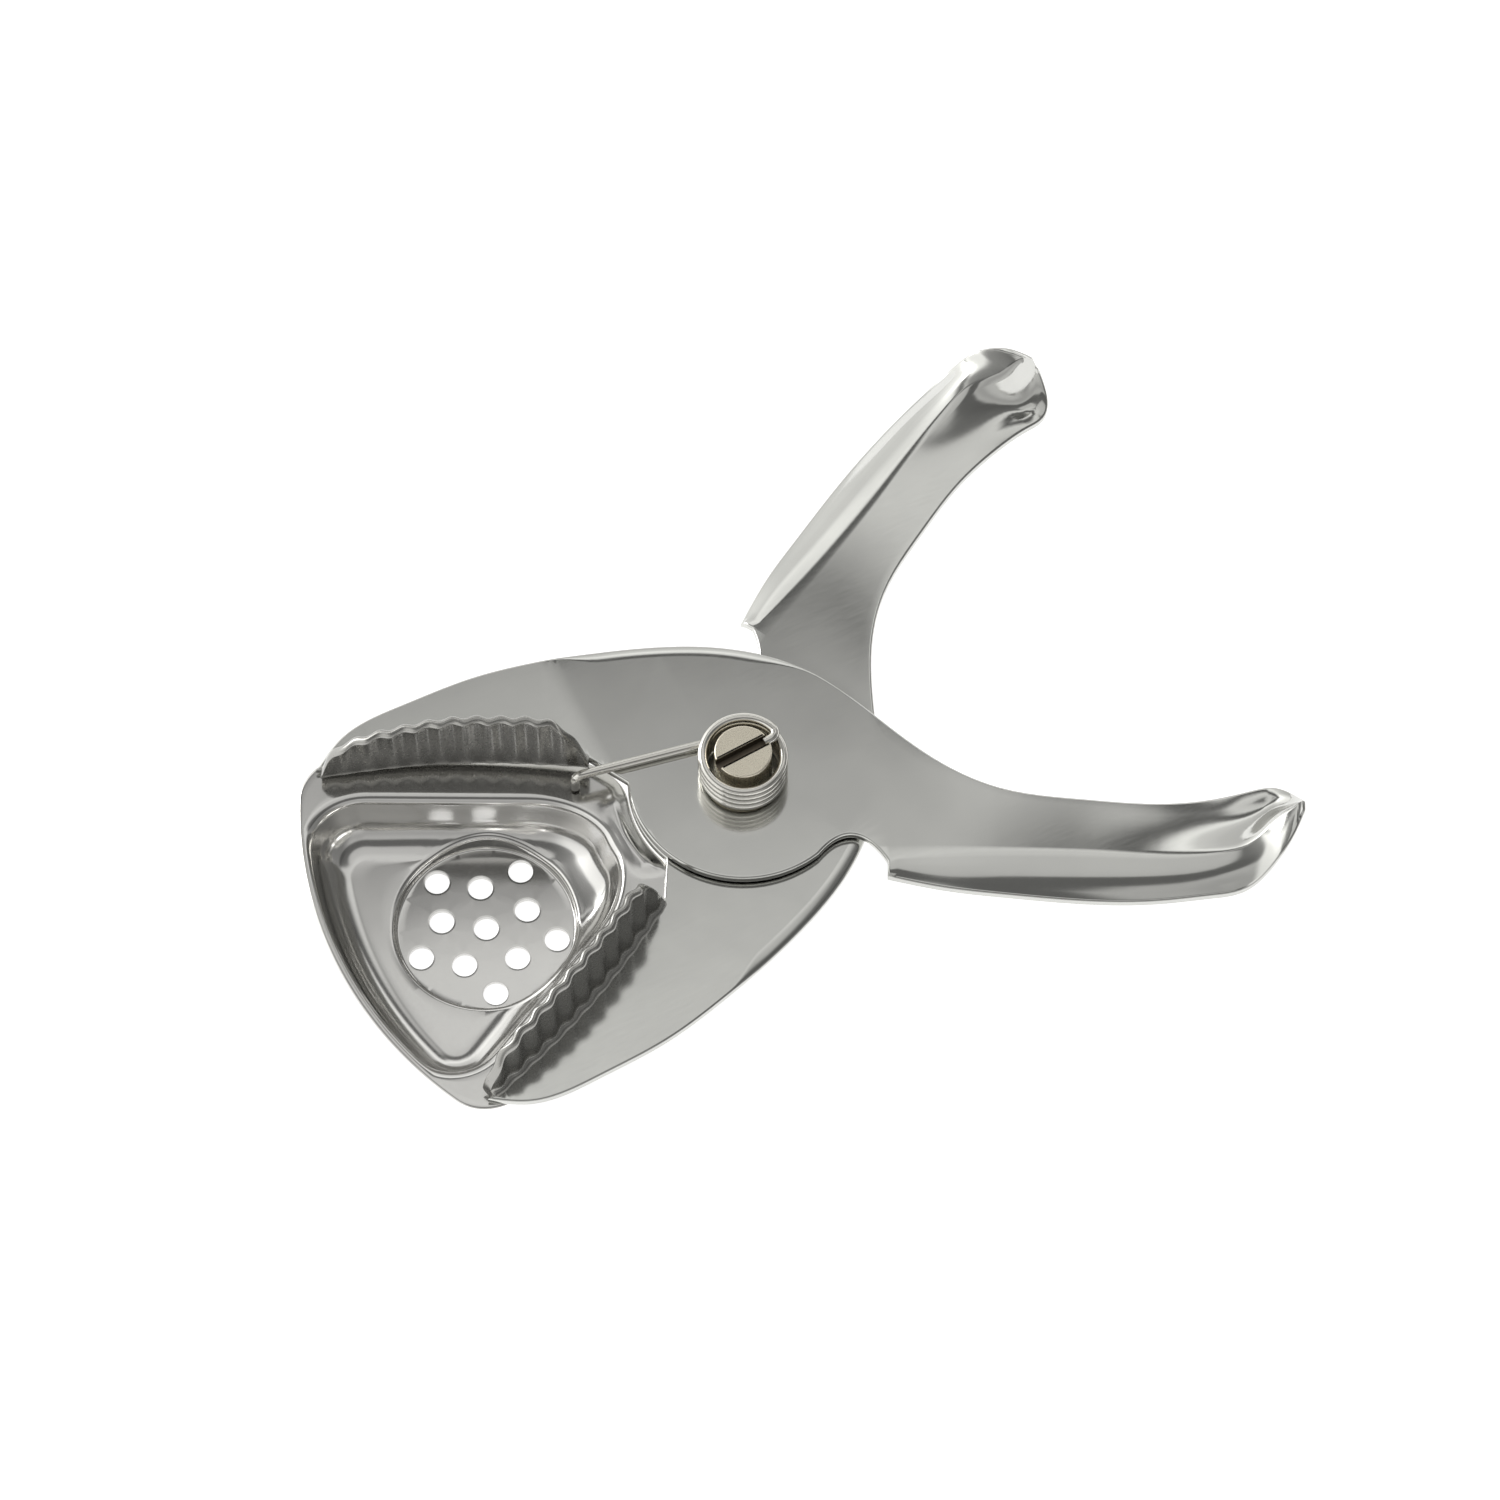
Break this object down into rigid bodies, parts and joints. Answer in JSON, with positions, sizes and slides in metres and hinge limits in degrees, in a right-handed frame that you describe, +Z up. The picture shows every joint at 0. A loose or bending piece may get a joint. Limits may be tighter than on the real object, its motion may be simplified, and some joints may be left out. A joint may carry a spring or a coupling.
{
  "type": "citrus press pliers",
  "caption": "Pliers-type citrus press: two pressed steel levers with fluted jaw walls over a perforated strainer tray, held open by a coil spring.",
  "frame": {"origin": "bottom centre of the whole press at rest, on the surface that the strainer recess lies on", "axes": "+X from the jaws towards the handles along the mirror line of the two levers, +Z up along the hinge screw, from the tray to the spring"},
  "size_m": [0.1488, 0.1062, 0.029],
  "materials": {
    "lever_steel": "satin-polished stainless sheet",
    "tray_steel": "mirror-polished stainless sheet",
    "fastener_steel": "turned and polished stainless",
    "spring_steel": "drawn stainless wire"
  },
  "bodies": {
    "lower_half": {"lower_lever": "lever_steel", "strainer_tray": "tray_steel", "tray_welds": "tray_steel", "pivot_screw": "fastener_steel", "pivot_bush": "fastener_steel", "pivot_washer": "fastener_steel", "nut_washer": "fastener_steel", "pivot_nut": "fastener_steel", "return_spring": "spring_steel"},
    "upper_half": {"upper_lever": "lever_steel"}
  },
  "joints": [
    {"name": "jaw_hinge", "type": "hinge", "parent": "lower_half", "child": "upper_half", "pos_m": [-0.00279, 0, 0.0146], "axis": [0, 0, 1], "range_deg": [0, 52], "stiffness_Nm_per_rad": 0.25, "springref_deg": -11.46, "deforming": ["return_spring"]}
  ]
}
